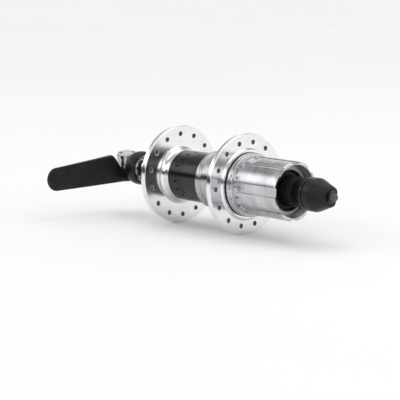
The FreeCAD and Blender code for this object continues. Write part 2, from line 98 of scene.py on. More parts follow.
def riding(piece, body, slot, replaces=()):
    """Hands a piece to a CAD body and a material slot, in place of the CAD nodes it replaces."""
    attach(piece, body)
    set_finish(piece, slot)
    if replaces:
        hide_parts(*replaces)
    return piece


def add_piece(name, vertices, faces, body, slot, replaces=()):
    """A piece made from points and faces, riding on a CAD body."""
    return riding(placed(name, vertices, faces), body, slot, replaces)


def clean(mesh):
    """Welds doubled points, turns every face outwards and shades it smooth."""
    work = bmesh.new()
    work.from_mesh(mesh)
    bmesh.ops.remove_doubles(work, verts=work.verts, dist=WELD)
    bmesh.ops.dissolve_degenerate(work, edges=work.edges, dist=WELD)
    bmesh.ops.recalc_face_normals(work, faces=work.faces)
    for face in work.faces:
        face.smooth = True
    work.to_mesh(mesh)
    work.free()


def even_normals(piece):
    """Large flat faces keep their own normal where they meet a small rounding."""
    modifier = piece.modifiers.new("even_normals", "WEIGHTED_NORMAL")
    modifier.mode = "FACE_AREA"
    modifier.weight = 50
    return piece


def rounded(outline, corner=0.2):
    """A closed outline of (y, r) or (y, r, radius) points with every corner rounded."""
    points = []
    count = len(outline)
    for index, item in enumerate(outline):
        here = Vector(item[:2])
        to_last = Vector(outline[index - 1][:2]) - here
        to_next = Vector(outline[(index + 1) % count][:2]) - here
        radius = item[2] if len(item) > 2 else corner
        half = to_last.angle(to_next) / 2
        if radius <= 0 or half > math.radians(87):
            points.append(here)
            continue
        reach = min(radius / math.tan(half), 0.48 * to_last.length, 0.48 * to_next.length)
        radius = reach * math.tan(half)
        middle = (to_last.normalized() + to_next.normalized()).normalized()
        centre = here + middle * (radius / math.sin(half))
        start = here + to_last.normalized() * reach - centre
        end = here + to_next.normalized() * reach - centre
        first = math.atan2(start.y, start.x)
        sweep = math.atan2(end.y, end.x) - first
        sweep = (sweep + math.pi) % (2 * math.pi) - math.pi
        steps = max(3, int(radius * 5 * abs(sweep)))
        for step in range(steps + 1):
            angle = first + sweep * step / steps
            points.append(centre + radius * Vector((math.cos(angle), math.sin(angle))))
    return points


def grid_faces(rows, columns):
    """Quads of a grid that closes on itself both ways."""
    faces = []
    for row in range(rows):
        below = (row + 1) % rows
        for column in range(columns):
            beside = (column + 1) % columns
            faces.append((row * columns + column, row * columns + beside,
                          below * columns + beside, below * columns + column))
    return faces


def turned_mesh(profile, steps=ROUND_STEPS, centre=(0.0, 0.0)):
    """Points and faces of a closed profile turned about a line parallel to Y."""
    vertices = []
    for y, r in profile:
        for step in range(steps):
            angle = 2 * math.pi * step / steps
            vertices.append((centre[0] + r * math.sin(angle), y, centre[1] + r * math.cos(angle)))
    return vertices, grid_faces(len(profile), steps)


def plug(low, high, radius):
    """The closed profile of a plain cylinder."""
    return [(low, ON_AXIS), (low, radius), (high, radius), (high, ON_AXIS)]


def turned(name, outline, body, slot, replaces=(), corner=0.2, finish=True):
    """A piece turned about the axle from an outline of (y, r) or (y, r, radius) points."""
    vertices, faces = turned_mesh(rounded(outline, corner))
    piece = add_piece(name, vertices, faces, body, slot, replaces)
    return even_normals(piece) if finish else piece


def tool(vertices, faces):
    """The second shape of a boolean, which is used once and then removed."""
    return placed("tool", vertices, faces)


def upright(vertices):
    """Turns points made about Y so that their axis is Z."""
    return [(x, -z, y) for x, y, z in vertices]


def rolled(vertices):
    """The lever side's roll about the axle axis."""
    turn = Matrix.Rotation(ROLL, 3, "Y")
    return [turn @ Vector(v) for v in vertices]


def combine(piece, other, operation):
    """Applies one exact boolean to a piece and removes the tool."""
    modifier = piece.modifiers.new("combine", "BOOLEAN")
    modifier.operation = operation
    modifier.solver = "EXACT"
    modifier.object = other
    graph = bpy.context.evaluated_depsgraph_get()
    mesh = bpy.data.meshes.new_from_object(piece.evaluated_get(graph))
    piece.modifiers.remove(modifier)
    old = piece.data
    mesh.name = old.name
    piece.data = mesh
    bpy.data.meshes.remove(old)
    bpy.data.objects.remove(other)
    clean(piece.data)
    return piece


def inner_part(name, node, from_y, body, slot):
    """A piece copied from a CAD node, keeping what lies beyond from_y towards the lever side."""
    mesh = frame["nodes"][node].data.copy()
    mesh.name = name
    work = bmesh.new()
    work.from_mesh(mesh)
    bmesh.ops.remove_doubles(work, verts=work.verts, dist=WELD)
    cut = bmesh.ops.bisect_plane(
        work, geom=work.verts[:] + work.edges[:] + work.faces[:], dist=1e-8,
        plane_co=(0, from_y * MM, 0), plane_no=(0, -1, 0), clear_outer=True)
    rim = [item for item in cut["geom_cut"] if isinstance(item, bmesh.types.BMEdge)]
    bmesh.ops.triangle_fill(work, use_beauty=True, edges=rim)
    work.to_mesh(mesh)
    work.free()
    return riding(shown(name, mesh), body, slot)


# ---------------------------------------------------------------- hub shell

RIM_R, SLEEVE_R, BEARING_R = 30.84, 13.8, 12.0
HOLES, SPOKE_CIRCLE_R, HOLE_R, LIP = 14, 25.7, 1.3, 0.5
LEFT_DISC_Y, RIGHT_DISC_Y = (37.5, 41.2), (-22.5, -19.0)    # the two faces of each drilled disc
LEFT_HOLE_PHASE, RIGHT_HOLE_PHASE = -2.0, -14.86            # degrees


def spoke_hole_tool(low, high, phase):
    """All the holes of one flange, each with a soft rounded lip at both faces."""
    past, lip_steps, columns = 1.0, 5, 32
    entry = [(low + LIP - LIP * math.sin(t), HOLE_R + LIP * (1 - math.cos(t)))
             for t in (math.radians(90 / lip_steps * k) for k in range(lip_steps, -1, -1))]
    leave = [(low + high - y, r) for y, r in entry[::-1]]
    over = HOLE_R + LIP
    profile = [(low - past, ON_AXIS), (low - past, over), *entry,
               *leave, (high + past, over), (high + past, ON_AXIS)]
    vertices, faces = [], []
    for index in range(HOLES):
        angle = math.radians(phase + index * 360.0 / HOLES)
        centre = (SPOKE_CIRCLE_R * math.sin(angle), SPOKE_CIRCLE_R * math.cos(angle))
        points, quads = turned_mesh(profile, columns, centre)
        faces += [tuple(v + len(vertices) for v in quad) for quad in quads]
        vertices += points
    return tool(vertices, faces)


LEFT_FLANGE = [
    (23.0, 11.0), (23.0, SLEEVE_R), (32.2, SLEEVE_R), (32.2, 16.4, 0.3),
    (37.5, 16.4, 5.3), (37.5, RIM_R, 0.8), (41.2, RIM_R, 0.8), (41.2, 17.5, 4.0),
    (46.2, 17.5, 0.6), (47.0, 15.9, 0.4), (47.0, BEARING_R, 0.3), (37.8, BEARING_R),
    (37.8, 11.0),
]
RIGHT_FLANGE = [
    (15.0, 11.0), (15.0, SLEEVE_R), (6.1, SLEEVE_R), (6.1, 17.8, 1.6), (3.2, 17.8, 1.6),
    (2.6, 16.6, 0.8), (-14.0, 18.4, 0.0), (-19.0, 18.4, 5.0), (-19.0, RIM_R, 0.8),
    (-22.5, RIM_R, 0.8), (-22.5, 22.0, 0.4), (-23.6, 21.0, 0.4), (-23.6, 16.5),
    (-21.0, 16.5), (-21.0, 16.0), (-10.0, 16.0), (-10.0, BEARING_R), (-1.0, BEARING_R),
    (-1.0, 11.0),
]

left_flange = turned("left_flange_polished", LEFT_FLANGE, "hub_shell", "polished_alloy",
                     ["left_flange"], finish=False)
even_normals(combine(left_flange, spoke_hole_tool(*LEFT_DISC_Y, LEFT_HOLE_PHASE), "DIFFERENCE"))
right_flange = turned("right_flange_polished", RIGHT_FLANGE, "hub_shell", "polished_alloy",
                      ["right_flange"], finish=False)
even_normals(combine(right_flange, spoke_hole_tool(*RIGHT_DISC_Y, RIGHT_HOLE_PHASE), "DIFFERENCE"))

turned("barrel_sleeve", [(6.1, SLEEVE_R), (6.1, 15.8, 0.4), (32.2, 15.8, 0.4), (32.2, SLEEVE_R)],
       "hub_shell", "barrel_black", ["hub_barrel"])
turned("left_seal_lip", [
    (44.2, 8.3), (44.2, BEARING_R), (46.6, BEARING_R), (46.6, 10.0), (45.2, 9.2), (45.2, 8.3)],
    "hub_shell", "rubber_black", ["left_dust_seal"], corner=0.25)

# ---------------------------------------------------------------- freehub

SPLINES, SPLINE_PHASE = 8, math.radians(-88.0)
SPLINE_R, SPLINE_FLOOR_R, GROOVE_HALF = 17.8, 16.2, 2.9
SPLINE_EDGE, FLOOR_FILLET = 0.3, 0.45
FREEHUB_END, SPLINE_END, BASE_END, BASE_R = -63.5, -28.6, -24.3, 19.4
GROOVE_STOP = SPLINE_END - 0.2 - GROOVE_HALF
THREAD_R, THREAD_END, THREAD_PITCH, THREAD_DEPTH = 15.3, -58.5, 1.0, 0.4
MOUTH_R = 12.5


def groove_points(half, top_r):
    """One groove's section as (across, outward) points, from one land to the next."""
    shoulder = math.sqrt(top_r ** 2 - half ** 2)
    fillet = min(FLOOR_FILLET, 0.8 * half + 0.02)
    edge = min(SPLINE_EDGE, 0.9 * (shoulder - SPLINE_FLOOR_R - fillet))
    side = []
    for degrees in (90, 60, 30, 0):
        t = math.radians(degrees)
        side.append((-(half + edge) + edge * math.cos(t), shoulder - edge + edge * math.sin(t)))
    for degrees in (180, 210, 240, 270):
        t = math.radians(degrees)
        side.append((-(half - fillet) + fillet * math.cos(t),
                     SPLINE_FLOOR_R + fillet + fillet * math.sin(t)))
    floor = [(share * (half - fillet), SPLINE_FLOOR_R) for share in (-0.5, 0.0, 0.5)]
    return side + floor + [(-u, v) for u, v in side[::-1]]


def splined_section(half, top_r, land_steps=10):
    """(angle, radius) of every column round the splines, at one place along the axle."""
    pitch = 2 * math.pi / SPLINES
    groove = [(math.atan2(u, v), math.hypot(u, v)) for u, v in groove_points(half, top_r)]
    columns = []
    for index in range(SPLINES):
        middle = SPLINE_PHASE + index * pitch
        columns += [(middle + angle, radius) for angle, radius in groove]
        start, stop = groove[-1][0], pitch + groove[0][0]
        columns += [(middle + start + (stop - start) * k / land_steps, top_r)
                    for k in range(1, land_steps)]
    return columns


def freehub_rings():
    """Rings of (y, columns) that run over the outside and back through the bore."""
    full = splined_section(GROOVE_HALF, SPLINE_R)
    plain = [angle for angle, _ in full]

    def circle(y, radius):
        """A round ring, with the columns of the splined ones."""
        return [(angle, y, radius) for angle in plain]

    def grooved(y, half, limit=SPLINE_R):
        """A splined ring whose lands stop at a limit."""
        return [(angle, y, min(radius, limit)) for angle, radius in splined_section(half, SPLINE_R)]

    # the chamfered end, the straight grooves and their round run-outs
    start, steps, nearly_shut = FREEHUB_END + 0.8, 12, 88.5
    rings = [grooved(FREEHUB_END, GROOVE_HALF, 17.2),
             grooved(FREEHUB_END + 0.15, GROOVE_HALF, 17.4),
             grooved(FREEHUB_END + 0.45, GROOVE_HALF, 17.7), grooved(start, GROOVE_HALF)]
    for k in range(1, steps + 1):
        rings.append(grooved(start + (GROOVE_STOP - start) * k / steps, GROOVE_HALF))
    for k in range(1, steps + 1):
        t = math.radians(nearly_shut * k / steps)
        rings.append(grooved(GROOVE_STOP + GROOVE_HALF * math.sin(t), GROOVE_HALF * math.cos(t)))
    # the base ring, and back through the bearing seats to the mouth
    outside = [(SPLINE_END - 0.12, SPLINE_R), (SPLINE_END, SPLINE_R + 0.2),
               (SPLINE_END, BASE_R - 0.6), (SPLINE_END + 0.15, BASE_R - 0.2),
               (SPLINE_END + 0.5, BASE_R), (BASE_END - 0.5, BASE_R),
               (BASE_END - 0.15, BASE_R - 0.2), (BASE_END, BASE_R - 0.6), (BASE_END, 15.2),
               (-22.2, 15.2), (-22.2, 7.7), (-30.0, 7.7), (-30.0, BEARING_R),
               (-36.0, BEARING_R), (-36.9, 11.9), (-37.0, 10.6), (-49.0, 10.6),
               (-49.0, BEARING_R), (-55.0, BEARING_R),
               (-55.1, MOUTH_R), (THREAD_END + 0.15, MOUTH_R), (THREAD_END, MOUTH_R + 0.15),
               (THREAD_END, THREAD_R - 0.1)]
    rings += [circle(y, r) for y, r in outside]
    # the lockring thread
    rings_per_turn = 8
    count = int((THREAD_END - FREEHUB_END) / THREAD_PITCH * rings_per_turn)
    for k in range(count + 1):
        ring = []
        y = THREAD_END + (FREEHUB_END + 0.5 - THREAD_END) * k / count
        for angle in plain:
            phase = (y / THREAD_PITCH + angle / (2 * math.pi)) % 1.0
            ring.append((angle, y, THREAD_R + THREAD_DEPTH * abs(2 * phase - 1)))
        rings.append(ring)
    rings.append(circle(FREEHUB_END + 0.3, THREAD_R + 0.35))
    rings.append(circle(FREEHUB_END, THREAD_R + 0.6))
    return rings


rings = freehub_rings()
vertices = [(r * math.sin(a), y, r * math.cos(a)) for ring in rings for a, y, r in ring]
faces = grid_faces(len(rings), len(rings[0]))
freehub = even_normals(add_piece("freehub_splined_body", vertices, faces, "freehub",
                                 "freehub_silver", ["freehub_body"]))

# the pawl carrier inside the ratchet is cut from a copy of the CAD node
inner_part("freehub_pawl_carrier", "freehub_body", -22.1, "freehub", "freehub_silver")

turned("freehub_seal_ring", [
    (-24.2, 15.2), (-24.2, 19.5), (-23.7, 19.7), (-23.7, 16.3), (-22.6, 15.9),
    (-22.4, 15.2)], "freehub", "rubber_black", ["freehub_seal"], corner=0.12)
turned("mouth_dust_cap", [
    (-55.2, 12.4), (-55.2, 9.5), (-57.4, 9.5), (-57.4, 10.4), (-56.5, 10.7), (-56.5, 11.2),
    (-58.3, 11.8), (-58.3, 12.4)], "freehub", "black_plastic", ["freehub_dust_cap"], corner=0.15)

# ---------------------------------------------------------------- axle ends

DROPOUT_Y = 67.5


def end_cap(name, side, inner_y, neck_r, neck_length, slot, node):
    """An axle end: neck, grooved collar with the dropout face, and spigot."""
    collar = inner_y + neck_length
    profile = [
        (inner_y, 6.0), (inner_y, neck_r), (collar, neck_r, 0.3), (collar + 1.0, 9.0, 0.3),
        (64.9, 9.0), (64.9, 8.5, 0.1), (65.7, 8.5, 0.1), (65.7, 9.0), (DROPOUT_Y, 9.0, 0.35),
        (DROPOUT_Y, 5.0, 0.15), (73.0, 5.0, 0.5), (73.0, 2.8, 0.2), (62.0, 2.8), (62.0, 6.0)]
    turned(name, [(side * y, r, *rest) for y, r, *rest in profile], "axle_set", slot, [node])


end_cap("left_end_cap_turned", 1, 43.8, 7.9, 4.0, "polished_alloy", "left_end_cap")
end_cap("right_end_cap_turned", -1, 55.0, 7.8, 1.4, "black_alloy", "right_end_cap")

# ---------------------------------------------------------------- skewer nut and rod


def nut_profile():
    """The nut's outline with close points, so that its flats stay smooth."""
    spacing = 0.5
    outline = rounded([
        (-77.2, 8.0, 0.2), (-75.6, 8.0, 0.2), (-75.6, 7.5, 0.2), (-79.0, 7.5), (-79.0, 3.9),
        (-92.5, 3.9), (-92.5, 6.0, 0.7), (-91.0, 6.6, 0.6), (-84.0, 9.4, 1.2),
        (-82.2, 10.0, 0.9), (-77.2, 10.0, 0.9)])
    dense = []
    for index, point in enumerate(outline):
        after = outline[(index + 1) % len(outline)]
        steps = max(1, int((after - point).length / spacing))
        dense += [point.lerp(after, k / steps) for k in range(steps)]
    return dense


def nut_vertices():
    """The turned nut with two soft flats on its taper."""
    softness, tilt = 16.0, math.radians(12.0)
    shoulder_y, taper_y, tip_y, bore_r = -82.8, -83.4, -91.5, 5.0
    flat_wide, flat_narrowing = 8.6, 4.0
    vertices = []
    for y, r in nut_profile():
        share = min(max((taper_y - y) / (taper_y - tip_y), 0.0), 1.05)
        flat = flat_wide - flat_narrowing * share
        for step in range(ROUND_STEPS):
            angle = 2 * math.pi * step / ROUND_STEPS
            radius = r
            if r > bore_r and y < shoulder_y:
                across = abs(math.sin(angle))
                wall = flat / max(across, 1e-3)
                radius = (r ** -softness + wall ** -softness) ** (-1 / softness)
            vertices.append((radius * math.sin(angle + tilt), y, radius * math.cos(angle + tilt)))
    return vertices


even_normals(add_piece("skewer_nut_grip", nut_vertices(),
                       grid_faces(len(nut_profile()), ROUND_STEPS),
                       "nut", "black_plastic", ["skewer_nut"]))

ROD_JOIN_Y = -70.0          # hidden inside the axle's end


def rod_thread():
    """The rolled thread of the rod's end, as a fine helical ridge over its core."""
    pitch, crest, depth = 0.8, 2.5, 0.42
    start, stop, rows_per_turn, columns = -95.3, -77.0, 8, 48
    tip = [(ON_AXIS, -96.0), (1.7, -96.0), (2.0, -95.7)]
    plain = [(crest, stop + 0.2), (crest, ROD_JOIN_Y), (ON_AXIS, ROD_JOIN_Y)]
    count = int((stop - start) / pitch * rows_per_turn)
    rows = [[point] * columns for point in tip]
    for k in range(count + 1):
        y = start + (stop - start) * k / count
        row = []
        for column in range(columns):
            phase = (y / pitch + column / columns) % 1.0
            row.append((crest - depth * abs(2 * phase - 1), y))
        rows.append(row)
    rows += [[point] * columns for point in plain]
    vertices = []
    for row in rows:
        for column, (r, y) in enumerate(row):
            angle = 2 * math.pi * column / columns
            vertices.append((r * math.sin(angle), y, r * math.cos(angle)))
    return vertices, grid_faces(len(rows), columns)


add_piece("skewer_rod_thread", *rod_thread(), "rod", "skewer_steel", ["skewer_rod"])
inner_part("skewer_rod_shank", "skewer_rod", ROD_JOIN_Y, "rod", "skewer_steel")

# ---------------------------------------------------------------- lever side

CAM_Y = 91.5                # where the cam's pivot line crosses the axle line
HOUSING_R, HOUSING_LOW, HOUSING_TOP = 6.9, -6.4, 10.0
NECK_R, CUP_SEAT_Y = 6.2, 76.5
CLEAR_Z = 30                # a height past every shape here, for cutters
DIMPLE_CENTRE = Vector((0.0, CAM_Y, 6.3))   # where the blind hole's line crosses the pivot line
DIMPLE_INWARDS = Vector((0.933, 0.359, 0.0)).normalized()
DIMPLE_R = 0.9


def arc(start, middle, end, steps=12):
    """Points of the circle through three (y, r) points, from the first to the last."""
    a, b, c = Vector(start), Vector(middle), Vector(end)
    d = 2 * ((b - a).x * (c - a).y - (b - a).y * (c - a).x)
    ab, ac = (b - a).length_squared, (c - a).length_squared
    centre = a + Vector(((c - a).y * ab - (b - a).y * ac, (b - a).x * ac - (c - a).x * ab)) / d
    first, last = a - centre, c - centre
    sweep = first.angle_signed(last)
    turn = [Matrix.Rotation(-sweep * k / steps, 2) for k in range(steps + 1)]
    return [tuple(centre + t @ first) + (0.0,) for t in turn]


def upright_turned(profile, steps=SMALL_STEPS):
    """A closed (z, r) profile turned about the cam's pivot line, with the side's roll."""
    vertices, faces = turned_mesh(profile, steps)
    return rolled([(x, y + CAM_Y, z) for x, y, z in upright(vertices)]), faces


def cam_housing():
    """The upright barrel with its neck, the rod's tunnel, the cam's bores and a blind hole."""
    barrel = rounded([(HOUSING_LOW, ON_AXIS, 0), (HOUSING_LOW, HOUSING_R, 0.5),
                      (HOUSING_TOP, HOUSING_R, 3.0), (HOUSING_TOP, ON_AXIS, 0)])
    vertices, faces = upright_turned(barrel)
    piece = add_piece("cam_housing_polished", vertices, faces, "axle_set", "cam_silver",
                      ["cam_housing"])
    neck = rounded([(CUP_SEAT_Y, 2.8, 0.0), (CUP_SEAT_Y, NECK_R, 0.3),
                    (88.0, NECK_R, 0), (88.0, 2.8, 0)])
    vertices, faces = turned_mesh(neck, SMALL_STEPS)
    combine(piece, tool(rolled(vertices), faces), "UNION")
    # the tunnel that the rod's eye slides in, and the cam's two bores across it
    vertices, faces = turned_mesh(plug(84.0, 96.6, 4.35), TOOL_STEPS)
    combine(piece, tool(rolled(vertices), faces), "DIFFERENCE")
    for low, high, radius in ((-7.4, 2.6, 3.35), (0.0, 8.1, 2.05)):
        vertices, faces = upright_turned(plug(low, high, radius), TOOL_STEPS)
        combine(piece, tool(vertices, faces), "DIFFERENCE")
    # the small blind hole in its flank, with a soft lip
    length, columns, outside = 3.2, 32, 1.0
    vertices, faces = turned_mesh([(0.0, ON_AXIS), (0.0, 1.5), (0.85, 1.35), (1.15, DIMPLE_R),
                                   (length, DIMPLE_R), (length, ON_AXIS)], columns)
    turn = Vector((0, 1, 0)).rotation_difference(DIMPLE_INWARDS).to_matrix()
    start = DIMPLE_CENTRE - DIMPLE_INWARDS * (HOUSING_R + outside)
    vertices = [turn @ Vector(v) + start for v in vertices]
    combine(piece, tool(rolled(vertices), faces), "DIFFERENCE")
    bevel = piece.modifiers.new("soft_edges", "BEVEL")
    bevel.width = 0.22 * MM
    bevel.segments = 3
    bevel.limit_method = "ANGLE"
    bevel.angle_limit = math.radians(40)
    return even_normals(piece)


housing = cam_housing()

cup = turned("skewer_cup_turned", [
    (72.7, 9.1, 0.25), (72.7, 10.0, 0.35), *arc((72.7, 10.0), (79.5, 10.7), (85.2, 7.6))[1:-1],
    (85.2, 7.6, 0.5), (85.2, NECK_R, 0.2), (CUP_SEAT_Y, NECK_R), (CUP_SEAT_Y, 9.1)],
    "axle_set", "black_plastic", ["skewer_cup"], finish=False)
vertices, faces = upright_turned(plug(-CLEAR_Z, CLEAR_Z, HOUSING_R))
even_normals(combine(cup, tool(vertices, faces), "DIFFERENCE"))

# The paddle's lower edge runs from LEVER_LOW at the pivot to TIP_LOW, and its upper edge from
# LEVER_TOP at the shoulder to TIP_TOP. Its slanted front rises from the round root at WRAP_X
# to SLANT_TOP at SLANT_X. The two curves are its sides in y.
LEVER_LOW, LEVER_TOP, ROOT_TOP, ROOT_R = -9.3, 9.3, -6.7, 6.6
LEVER_TIP_X, LEVER_ROUND_X, LEVER_SHOULDER_X = -66.8, -60.0, -16.4
SLANT_X, WRAP_X, SLANT_TOP = -13.4, -4.6, 6.9
TIP_LOW, TIP_TOP = -8.4, 6.4
NEAR_CURVE = [(WRAP_X, CAM_Y - 6.0), (-38.0, CAM_Y - 4.6), (-66.0, CAM_Y - 3.6)]
FAR_CURVE = [(0.0, CAM_Y + 1.6), (-38.0, CAM_Y - 1.6), (-66.0, CAM_Y - 1.0)]


def through(x, three):
    """The value at x of the parabola through three (x, value) points."""
    total = 0.0
    for index, (xi, value) in enumerate(three):
        term = value
        for other, (xj, _) in enumerate(three):
            if other != index:
                term *= (x - xj) / (xi - xj)
        total += term
    return total


def lever_edges(x):
    """The paddle's lower and upper edge at x."""
    share = (x - LEVER_SHOULDER_X) / (LEVER_ROUND_X - LEVER_SHOULDER_X)
    top = LEVER_TOP + (TIP_TOP - LEVER_TOP) * share
    if x > LEVER_SHOULDER_X:
        share = (x - SLANT_X) / (LEVER_SHOULDER_X - SLANT_X)
        top = SLANT_TOP + (LEVER_TOP - SLANT_TOP) * math.sin(max(share, 0.0) * math.pi / 2)
    if x > SLANT_X:
        top = ROOT_TOP + 0.1 + (SLANT_TOP - ROOT_TOP - 0.1) * (x - WRAP_X) / (SLANT_X - WRAP_X)
    low = LEVER_LOW + (TIP_LOW - LEVER_LOW) * x / LEVER_ROUND_X
    if x < LEVER_ROUND_X:
        share = (x - LEVER_ROUND_X) / (LEVER_TIP_X - LEVER_ROUND_X)
        half = (TIP_TOP - TIP_LOW) / 2 * math.sqrt(max(1 - share ** 2, 0.0)) + 0.05
        middle = (TIP_TOP + TIP_LOW) / 2
        top, low = middle + half, middle - half
    return low, top


def lever_sides(x):
    """The paddle's side towards the hub and its outer side at x."""
    near, far = through(x, NEAR_CURVE), through(x, FAR_CURVE)
    if x < LEVER_ROUND_X:
        pinch = 1 - 0.35 * ((x - LEVER_ROUND_X) / (LEVER_TIP_X - LEVER_ROUND_X)) ** 2
        middle = (near + far) / 2
        near, far = middle + (near - middle) * pinch, middle + (far - middle) * pinch
    return near, far


def lever_stations():
    """Places along the paddle for its sections, close together at the root and the tip."""
    root = [WRAP_X - 0.4 * k for k in range(31)]
    blade = [-18.0 - 1.6 * k for k in range(27)]
    tip = [LEVER_ROUND_X + (LEVER_TIP_X - LEVER_ROUND_X) * math.sin(math.radians(9.9 * k))
           for k in range(10)]
    return sorted(set(round(x, 4) for x in root + blade + tip), reverse=True)


def lever_paddle():
    """A loft of rounded sections along the lever, closed at both ends."""
    around = 64
    rows = [(x, *lever_sides(x), *lever_edges(x)) for x in lever_stations()]
    vertices = []
    for x, near, far, low, top in rows:
        mid_y, mid_z = (near + far) / 2, (low + top) / 2
        half_y, half_z = (far - near) / 2, (top - low) / 2
        corner = min(half_y, half_z) * 0.75
        for step in range(around):
            t = 2 * math.pi * (step + 0.5) / around
            c, s = math.cos(t), math.sin(t)
            y = math.copysign(max(half_y - corner, 0) + corner * abs(c) ** 0.9, c)
            z = math.copysign(max(half_z - corner, 0) * min(1.0, abs(s) * 1.6) + corner * abs(s), s)
            vertices.append((x, mid_y + y, mid_z + z))
    faces = []
    for row in range(len(rows) - 1):
        for step in range(around):
            beside = (step + 1) % around
            faces.append((row * around + step, row * around + beside,
                          (row + 1) * around + beside, (row + 1) * around + step))
    last = (len(rows) - 1) * around
    faces.append(tuple(range(around)))
    faces.append(tuple(range(last, last + around)))
    return vertices, faces


def lever():
    """The round root under the cam housing with the paddle, cut clear of the housing."""
    room_r = HOUSING_R + 0.4
    root = rounded([(LEVER_LOW, ON_AXIS, 0), (LEVER_LOW, ROOT_R, 0.9),
                    (ROOT_TOP, ROOT_R, 0.5), (ROOT_TOP, ON_AXIS, 0)])
    vertices, faces = upright_turned(root)
    piece = add_piece("lever_paddle", vertices, faces, "lever_and_cam", "lever_black", ["lever"])
    vertices, faces = lever_paddle()
    combine(piece, tool(rolled(vertices), faces), "UNION")
    vertices, faces = upright_turned(plug(ROOT_TOP, CLEAR_Z, room_r))
    combine(piece, tool(vertices, faces), "DIFFERENCE")
    even_normals(piece)


lever()


# ---------------------------------------------------------------- materials


class Look:
    """Node tree helper. Patterns use object coordinates, which are metres in the row frame."""

    def __init__(self, name):
        self.material = bpy.data.materials.new(name)
        self.material.use_nodes = True
        self.tree = self.material.node_tree
        self.shader = self.tree.nodes["Principled BSDF"]
        self.place = self.node("ShaderNodeTexCoord").outputs["Object"]

    def node(self, kind, **settings):
        """A new node with the settings given."""
        made = self.tree.nodes.new(kind)
        for key, value in settings.items():
            setattr(made, key, value)
        return made

    def link(self, source, target):
        self.tree.links.new(source, target)

    def scaled(self, x, y, z):
        """Object coordinates stretched by a number per metre on each axis."""
        mapping = self.node("ShaderNodeMapping")
        mapping.inputs["Scale"].default_value = (x, y, z)
        self.link(self.place, mapping.inputs["Vector"])
        return mapping.outputs["Vector"]

    def noise(self, scale, detail=3.0, rough=0.55, vector=None):
        """Cloudy noise, with scale in clouds per metre."""
        noise = self.node("ShaderNodeTexNoise")
        noise.inputs["Scale"].default_value = scale
        noise.inputs["Detail"].default_value = detail
        noise.inputs["Roughness"].default_value = rough
        self.link(vector or self.place, noise.inputs["Vector"])
        return noise.outputs["Fac"]

    def turning(self, per_metre):
        """Fine lines that run round the axle, as a lathe leaves them."""
        split = self.node("ShaderNodeSeparateXYZ")
        self.link(self.place, split.inputs[0])
        flat = self.node("ShaderNodeCombineXYZ")
        self.link(split.outputs["X"], flat.inputs["X"])
        self.link(split.outputs["Z"], flat.inputs["Z"])
        length = self.node("ShaderNodeVectorMath", operation="LENGTH")
        self.link(flat.outputs[0], length.inputs[0])
        total = self.node("ShaderNodeMath", operation="ADD")
        self.link(length.outputs["Value"], total.inputs[0])
        self.link(split.outputs["Y"], total.inputs[1])
        noise = self.node("ShaderNodeTexNoise", noise_dimensions="1D")
        noise.inputs["Scale"].default_value = per_metre
        noise.inputs["Detail"].default_value = 4.0
        self.link(total.outputs[0], noise.inputs["W"])
        return noise.outputs["Fac"]

    def range(self, value, low, high, start=0.3, stop=0.7):
        """Maps a value that runs from start to stop onto low to high."""
        span = self.node("ShaderNodeMapRange")
        self.link(value, span.inputs["Value"])
        span.inputs["From Min"].default_value = start
        span.inputs["From Max"].default_value = stop
        span.inputs["To Min"].default_value = low
        span.inputs["To Max"].default_value = high
        return span.outputs["Result"]

    def colour(self, value, dark, light, start=0.3, stop=0.7):
        """Base colour from dark to light as a value runs from start to stop."""
        ramp = self.node("ShaderNodeValToRGB")
        ramp.color_ramp.elements[0].position = start
        ramp.color_ramp.elements[1].position = stop
        ramp.color_ramp.elements[0].color = (*dark, 1.0)
        ramp.color_ramp.elements[1].color = (*light, 1.0)
        self.link(value, ramp.inputs["Fac"])
        self.link(ramp.outputs["Color"], self.shader.inputs["Base Color"])

    def fade(self, start, stop, share):
        """Painted shade: darkens the base colour to a share of itself as Y runs from start to stop
        (mm).
        """
        split = self.node("ShaderNodeSeparateXYZ")
        self.link(self.place, split.inputs[0])
        scale = self.node("ShaderNodeVectorMath", operation="SCALE")
        self.link(self.shader.inputs["Base Color"].links[0].from_socket, scale.inputs[0])
        share_left = self.range(split.outputs["Y"], 1.0, share, start * MM, stop * MM)
        self.link(share_left, scale.inputs["Scale"])
        self.link(scale.outputs["Vector"], self.shader.inputs["Base Color"])

    def bumps(self, *layers):
        """Layers of (height, strength, depth in metres), the coarse ones first."""
        normal = None
        for height, strength, depth in layers:
            bump = self.node("ShaderNodeBump")
            bump.inputs["Strength"].default_value = strength
            bump.inputs["Distance"].default_value = depth
            self.link(height, bump.inputs["Height"])
            if normal is not None:
                self.link(normal, bump.inputs["Normal"])
            normal = bump.outputs["Normal"]
        self.link(normal, self.shader.inputs["Normal"])

    def sum(self, first, second, share):
        """Two values mixed, with the second one's share."""
        mix = self.node("ShaderNodeMix", data_type="FLOAT")
        mix.inputs["Factor"].default_value = share
        self.link(first, mix.inputs["A"])
        self.link(second, mix.inputs["B"])
        return mix.outputs["Result"]


def polished(name, dark, light, rough_low, rough_high, lines=0.12, scratches=0.05, fade=None):
    """Metal with a cloudy polish, faint turning lines and hairline scratches, and, if asked,
    painted shade along Y.
    """
    look = Look(name)
    look.shader.inputs["Metallic"].default_value = 1.0
    clouds = look.noise(scale=140.0, detail=5.0, rough=0.6)
    look.colour(clouds, dark, light)
    if fade:
        look.fade(*fade)
    turning = look.turning(per_metre=5200.0)
    stretched = look.scaled(900.0, 5200.0, 1500.0)
    hairs = look.noise(scale=1.0, detail=2.0, rough=0.5, vector=stretched)
    rough = look.range(look.sum(clouds, turning, 0.35), rough_low, rough_high)
    look.link(rough, look.shader.inputs["Roughness"])
    look.bumps((turning, lines, 0.00002), (hairs, scratches, 0.00001))
    return look.material


